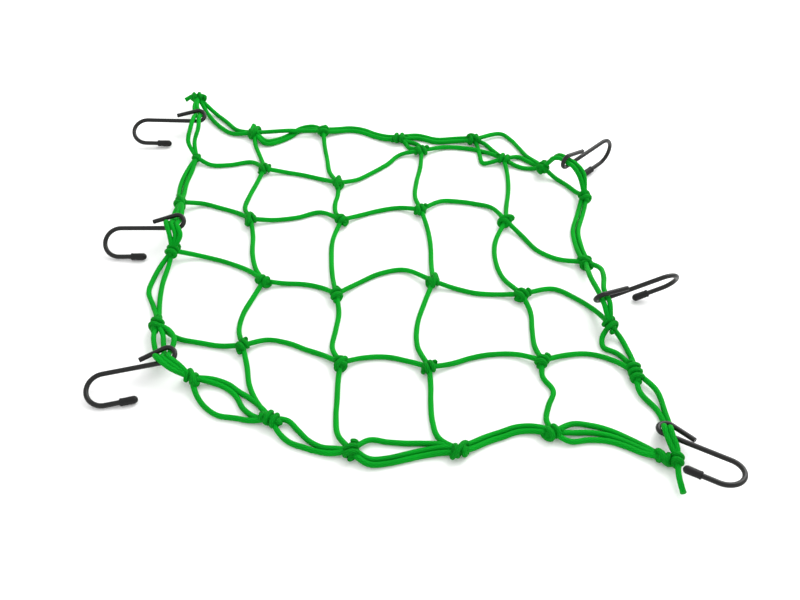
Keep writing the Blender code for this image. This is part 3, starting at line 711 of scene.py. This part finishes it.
def braided_polyester(name, settings, lit_share):
    """Elastic cord: a braided sheath of dyed polyester yarn over rubber threads.

    The yarns cross in a diamond lattice. Each float is a small pillow, and the grooves round it are
    painted darker as painted shade. The yarn's matt fibres give it a soft sheen with no clear
    highlight. The lit share is that of the lit colour on the pillows; the knots get a smaller one,
    a darker copy of the sheath that is painted shade for where the braid is drawn tight.
    """
    made, tree, shader = new_material(name, Roughness=0.6, Specular_IOR_Level=0.05)
    uv = add_node(tree, "ShaderNodeUVMap", uv_map="cloth_mm")
    split = add_node(tree, "ShaderNodeSeparateXYZ", {0: uv.outputs[0]})
    # Each way the phase gains 2 pi for every yarn: over the girth round the cord, over the lead along it.
    girth, turn = math.pi * settings.diameter / MM, 2 * math.pi * settings.yarns
    round_it = add_node(tree, "ShaderNodeMath", {0: split.outputs[1], 1: turn / girth}, operation="MULTIPLY")
    along = add_node(tree, "ShaderNodeMath", {0: split.outputs[0], 1: turn / (settings.lead / MM)},
                     operation="MULTIPLY")
    waves = []
    for operation in ("ADD", "SUBTRACT"):
        phase = add_node(tree, "ShaderNodeMath", {0: round_it.outputs[0], 1: along.outputs[0]},
                         operation=operation)
        half = add_node(tree, "ShaderNodeMath", {0: phase.outputs[0], 1: 0.5}, operation="MULTIPLY")
        waves.append(add_node(tree, "ShaderNodeMath", {0: half.outputs[0]}, operation="SINE"))
    cross = add_node(tree, "ShaderNodeMath", {0: waves[0].outputs[0], 1: waves[1].outputs[0]},
                     operation="MULTIPLY")
    crown = add_node(tree, "ShaderNodeMath", {0: cross.outputs[0]}, operation="ABSOLUTE")
    pillow = add_node(tree, "ShaderNodeMath", {0: crown.outputs[0], 1: 0.6}, operation="POWER")
    spot = add_node(tree, "ShaderNodeTexCoord").outputs["Object"]
    # Dye takes a little unevenly over some 15 mm, and fibres stand off the yarn at about 0.3 mm.
    dye = add_node(tree, "ShaderNodeTexNoise", {"Vector": spot, "Scale": 65.0, "Detail": 3.0})
    fuzz = add_node(tree, "ShaderNodeTexNoise", {"Vector": spot, "Scale": 3200.0, "Detail": 2.0})
    # Painted shade: the pillows take the lit colour and the grooves between them the darker groove colour.
    shade = add_node(tree, "ShaderNodeMapRange",
                     {0: pillow.outputs[0], 1: 0.0, 2: 1.0, 3: lit_share - 0.7, 4: lit_share})
    drift = add_node(tree, "ShaderNodeMapRange", {0: dye.outputs[0], 1: 0.3, 2: 0.7, 3: -0.12, 4: 0.12})
    tone = add_node(tree, "ShaderNodeMath", {0: shade.outputs[0], 1: drift.outputs[0]}, operation="ADD",
                    use_clamp=True)
    colour = add_node(tree, "ShaderNodeMix",
                      {0: tone.outputs[0], 6: (*settings.groove_shade, 1), 7: (*settings.lit, 1)}, data_type="RGBA")
    tree.links.new(colour.outputs[2], shader.inputs["Base Color"])
    braid = add_node(tree, "ShaderNodeBump",
                     {"Strength": 0.8, "Distance": 0.00022, "Height": pillow.outputs[0]})
    fibres = add_node(tree, "ShaderNodeBump", {"Strength": 0.35, "Distance": 0.00008,
                                               "Height": fuzz.outputs[0], "Normal": braid.outputs[0]})
    tree.links.new(fibres.outputs[0], shader.inputs["Normal"])
    return made


def coated_steel(settings):
    """Steel wire bent to shape and dipped in a black plastic coat, which is smooth and half glossy.

    It shows faint waves of the dipping, and dulls in patches where hands and rails have rubbed it.
    """
    made, tree, shader = new_material("dip_coated_steel_wire", Specular_IOR_Level=0.32)
    spot = add_node(tree, "ShaderNodeTexCoord").outputs["Object"]
    # Rubbed patches are about 6 mm across and the waves of the dipping about 0.7 mm apart.
    rub = add_node(tree, "ShaderNodeTexNoise", {"Vector": spot, "Scale": 160.0, "Detail": 4.0})
    grain = add_node(tree, "ShaderNodeTexNoise", {"Vector": spot, "Scale": 1400.0, "Detail": 3.0})
    rough = add_node(tree, "ShaderNodeMapRange", {0: rub.outputs[0], 1: 0.35, 2: 0.7, 3: 0.3, 4: 0.46})
    tree.links.new(rough.outputs[0], shader.inputs["Roughness"])
    worn = add_node(tree, "ShaderNodeMapRange", {0: rub.outputs[0], 1: 0.45, 2: 0.8, 3: 0.0, 4: 0.6})
    colour = add_node(tree, "ShaderNodeMix",
                      {0: worn.outputs[0], 6: (*settings.coat, 1), 7: (*rgb("#181913"), 1)}, data_type="RGBA")
    tree.links.new(colour.outputs[2], shader.inputs["Base Color"])
    bump = add_node(tree, "ShaderNodeBump",
                    {"Strength": 0.25, "Distance": 0.00006, "Height": grain.outputs[0]})
    tree.links.new(bump.outputs[0], shader.inputs["Normal"])
    return made


def moulded_pvc(settings):
    """Soft black PVC moulded into a cap: matt, with the fine spark-eroded grain of its mould."""
    made, tree, shader = new_material("moulded_soft_pvc", Roughness=0.5, Specular_IOR_Level=0.25)
    spot = add_node(tree, "ShaderNodeTexCoord").outputs["Object"]
    # The grain is about 0.1 mm and is drawn at 0.4 mm to show. Dust lies in patches of about 4 mm.
    grain = add_node(tree, "ShaderNodeTexNoise", {"Vector": spot, "Scale": 2600.0, "Detail": 3.0})
    dust = add_node(tree, "ShaderNodeTexNoise", {"Vector": spot, "Scale": 240.0, "Detail": 3.0})
    shade = add_node(tree, "ShaderNodeMapRange", {0: dust.outputs[0], 1: 0.4, 2: 0.75, 3: 0.0, 4: 0.5})
    colour = add_node(tree, "ShaderNodeMix",
                      {0: shade.outputs[0], 6: (*settings.colour, 1), 7: (*rgb("#161616"), 1)},
                      data_type="RGBA")
    tree.links.new(colour.outputs[2], shader.inputs["Base Color"])
    bump = add_node(tree, "ShaderNodeBump",
                    {"Strength": 0.3, "Distance": 0.00005, "Height": grain.outputs[0]})
    tree.links.new(bump.outputs[0], shader.inputs["Normal"])
    return made


def painted_floor(settings):
    """A seamless studio sweep of painted board: white and matt, with a barely uneven coat."""
    made, tree, shader = new_material("painted_board_white", Roughness=0.8, Specular_IOR_Level=0.1)
    spot = add_node(tree, "ShaderNodeTexCoord").outputs["Object"]
    # The roller leaves the coat uneven over about 250 mm.
    coat = add_node(tree, "ShaderNodeTexNoise", {"Vector": spot, "Scale": 4.0, "Detail": 2.0})
    shade = add_node(tree, "ShaderNodeMapRange", {0: coat.outputs[0], 1: 0.3, 2: 0.7, 3: 0.0, 4: 0.3})
    colour = add_node(tree, "ShaderNodeMix",
                      {0: shade.outputs[0], 6: (*settings.floor, 1), 7: (*rgb("#F4F5F4"), 1)},
                      data_type="RGBA")
    tree.links.new(colour.outputs[2], shader.inputs["Base Color"])
    return made


Sizes = namedtuple("Sizes", "cord pitch wire eye shank bend tip arm cap cap_length")


def sizes(scene):
    """The settings' lengths in the tables' millimetres."""
    cord, hook, cap = scene.luggage_cord, scene.luggage_hook, scene.luggage_cap
    lengths = (cord.diameter, cord.pitch, hook.wire, hook.eye, hook.shank, hook.bend, hook.tip_arm,
               hook.return_arm, cap.diameter, cap.length)
    return Sizes(*(round(length / MM, 4) for length in lengths))


def cord_finish(scene):
    """The one sheath that all cords outside the knots share."""
    name = "braided_polyester_green"
    return bpy.data.materials.get(name) or braided_polyester(name, scene.luggage_cord, 0.95)


def cords(lines, size):
    """One tube for each route, with a radius of its own."""
    girth = math.pi * size.cord
    return [tube(line, uneven(size.cord / 2, 1.3 * i), girth=girth) for i, line in enumerate(lines)]


def knot_places():
    """The middle of each knot by its name."""
    return {knot.name: place_of(knot) for knot in KNOTS}


class LUGGAGE_OT_mesh_cords(bpy.types.Operator):
    """Lay the cords of the mesh from knot to knot"""

    bl_idname = "luggage.mesh_cords"
    bl_label = "Mesh cords"

    def execute(self, context):
        size, places = sizes(context.scene), knot_places()
        lines = [line for strand in STRANDS if "mesh" in strand.start + strand.end
                 for line in strand_lines(strand, places, size.cord / 2, size.pitch)]
        add_piece("mesh_cords", cords(lines, size), cord_finish(context.scene), "net")
        return {"FINISHED"}


class LUGGAGE_OT_border_cords(bpy.types.Operator):
    """Lay the border's cords side by side and lead them through the hooks' eyes"""

    bl_idname = "luggage.border_cords"
    bl_label = "Border cords"

    def execute(self, context):
        size, places = sizes(context.scene), knot_places()
        hooks = {hook.name: hook for hook in HOOKS}
        lines = [line for strand in STRANDS if "mesh" not in strand.start + strand.end
                 for line in strand_lines(strand, places, size.cord / 2, size.pitch)]
        for row in THREADED:
            eye = eye_places(hooks[row.hook], row.slot, size)
            lines.append(threaded_line(row, places, eye, size.cord / 2))
        add_piece("border_cords", cords(lines, size), cord_finish(context.scene), "net")
        return {"FINISHED"}


class LUGGAGE_OT_knots(bpy.types.Operator):
    """Wind the knots"""

    bl_idname = "luggage.knots"
    bl_label = "Knots"

    def execute(self, context):
        size = sizes(context.scene)
        surfaces = []
        for i, knot in enumerate(KNOTS):
            line, tight = knot_turns(knot, i, size.cord)
            line = on_surface(line, tight)
            surfaces += [tube(line, tight, gap=FINE_GAP, girth=math.pi * size.cord),
                         knot_heart(knot, size.cord)]
        # Painted shade: the knots get a darker copy of the sheath, with less of the lit colour on its
        # pillows.
        finish = braided_polyester("braided_polyester_knot_painted_shade", context.scene.luggage_cord, 0.7)
        add_piece("wound_knots", surfaces, finish, "net")
        return {"FINISHED"}


class LUGGAGE_OT_cord_tails(bpy.types.Operator):
    """Cut the cord ends that stand out of their knots"""

    bl_idname = "luggage.cord_tails"
    bl_label = "Cord tails"

    def execute(self, context):
        size, places = sizes(context.scene), knot_places()
        lines = [tail_line(tail, places, size.cord * FLARED) for tail in TAILS]
        surfaces = [tube(line, uneven(size.cord / 2, i), gap=TAIL_GAP, flare=FLARE,
                         girth=math.pi * size.cord) for i, line in enumerate(lines)]
        add_piece("cord_tails", surfaces, cord_finish(context.scene), "net")
        return {"FINISHED"}


class LUGGAGE_OT_wire_hooks(bpy.types.Operator):
    """Bend the six wire hooks"""

    bl_idname = "luggage.wire_hooks"
    bl_label = "Wire hooks"

    def execute(self, context):
        size = sizes(context.scene)
        finish = coated_steel(context.scene.luggage_hook)
        wire = tube(hook_line(size), size.wire / 2, gap=FINE_GAP, sides=WIRE_SIDES)
        for hook in HOOKS:
            add_piece("wire_hook_" + hook.name, [placed(wire, hook_pose(hook))], finish,
                      "hook_" + hook.name)
        return {"FINISHED"}


class LUGGAGE_OT_tip_caps(bpy.types.Operator):
    """Push a soft cap over the tip of each hook"""

    bl_idname = "luggage.tip_caps"
    bl_label = "Tip caps"

    def execute(self, context):
        size = sizes(context.scene)
        finish = moulded_pvc(context.scene.luggage_cap)
        mouth = size.shank - size.tip + size.cap_length, -size.eye - 2 * size.bend, 0
        seat = np.array(Matrix.Translation(mouth) @ Matrix.Rotation(math.radians(-90), 4, "Y"))
        cap = cap_skin(size)
        for hook in HOOKS:
            add_piece("soft_cap_" + hook.name, [placed(cap, hook_pose(hook) @ seat)], finish,
                      "cap_" + hook.name)
        return {"FINISHED"}


class LUGGAGE_OT_stage(bpy.types.Operator):
    """Lay the floor, light it from the upper right and set the camera"""

    bl_idname = "luggage.stage"
    bl_label = "Stage"

    def execute(self, context):
        scene = context.scene
        mesh = bpy.data.meshes.new("studio_floor")
        mesh.from_pydata([(-6, -6, 0), (6, -6, 0), (6, 6, 0), (-6, 6, 0)], [], [(0, 1, 2, 3)])
        mesh.materials.append(painted_floor(scene.luggage_stage))
        floor = bpy.data.objects.new("studio_floor", mesh)
        scene.collection.objects.link(floor)
        floor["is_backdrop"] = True
        world = bpy.data.worlds.new("studio_air")
        world.use_nodes = True
        sky = world.node_tree.nodes["Background"]
        sky.inputs["Color"].default_value = (1, 1, 1, 1)
        sky.inputs["Strength"].default_value = SKY_STRENGTH
        scene.world = world
        add_light("key_softbox", place=(0.85, 0.9, 1.05), width=1.3, power=24.0)
        scene.view_settings.view_transform = "Standard"
        lens = bpy.data.cameras.new("photo_camera")
        lens.sensor_width, lens.lens, lens.clip_start = CAMERA_SENSOR, CAMERA_LENS, 0.01
        camera = bpy.data.objects.new("photo_camera", lens)
        down = math.radians(CAMERA_DOWN)
        back = scene.luggage_stage.distance * np.array([0, -math.cos(down), math.sin(down)])
        camera.location = back - ORIGIN * MM  # it looks at the middle of the tables' plan
        camera.rotation_euler = (math.pi / 2 - down, 0, 0)
        scene.collection.objects.link(camera)
        scene.camera = camera
        return {"FINISHED"}


def add_light(name, place, width, power):
    """A square softbox that faces the middle of the net."""
    light = bpy.data.lights.new(name, "AREA")
    light.size, light.energy = width, power
    lamp = bpy.data.objects.new(name, light)
    lamp.location = place
    lamp.rotation_euler = (-lamp.location).to_track_quat("-Z", "Y").to_euler()
    bpy.context.scene.collection.objects.link(lamp)


class LUGGAGE_PT_net(bpy.types.Panel):
    """Lists the net's settings and the steps that build it"""

    bl_idname = "LUGGAGE_PT_net"
    bl_label = "Luggage net"
    bl_space_type = "VIEW_3D"
    bl_region_type = "UI"
    bl_category = "Luggage Net"

    def draw(self, context):
        for group in GROUPS:
            box = self.layout.box()
            settings = getattr(context.scene, group)
            for name in settings.__annotations__:
                box.prop(settings, name)
        for step in STEPS:
            self.layout.operator(step.bl_idname)


STEPS = (LUGGAGE_OT_mesh_cords, LUGGAGE_OT_border_cords, LUGGAGE_OT_knots, LUGGAGE_OT_cord_tails,
         LUGGAGE_OT_wire_hooks, LUGGAGE_OT_tip_caps, LUGGAGE_OT_stage)


def register():
    for cls in (*GROUPS.values(), *STEPS, LUGGAGE_PT_net):
        bpy.utils.register_class(cls)
    for name, group in GROUPS.items():
        setattr(bpy.types.Scene, name, bpy.props.PointerProperty(type=group))


def unregister():
    for name in GROUPS:
        delattr(bpy.types.Scene, name)
    for cls in (LUGGAGE_PT_net, *reversed(STEPS), *reversed(GROUPS.values())):
        bpy.utils.unregister_class(cls)


def main():
    register()
    for step in STEPS:
        family, _, name = step.bl_idname.partition(".")
        getattr(getattr(bpy.ops, family), name)()
    boxes = {"cad": cad_box, "visual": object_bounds()}
    {name: [list(corner) for corner in box] for name, box in boxes.items()}


if __name__ == "__main__":
    main()
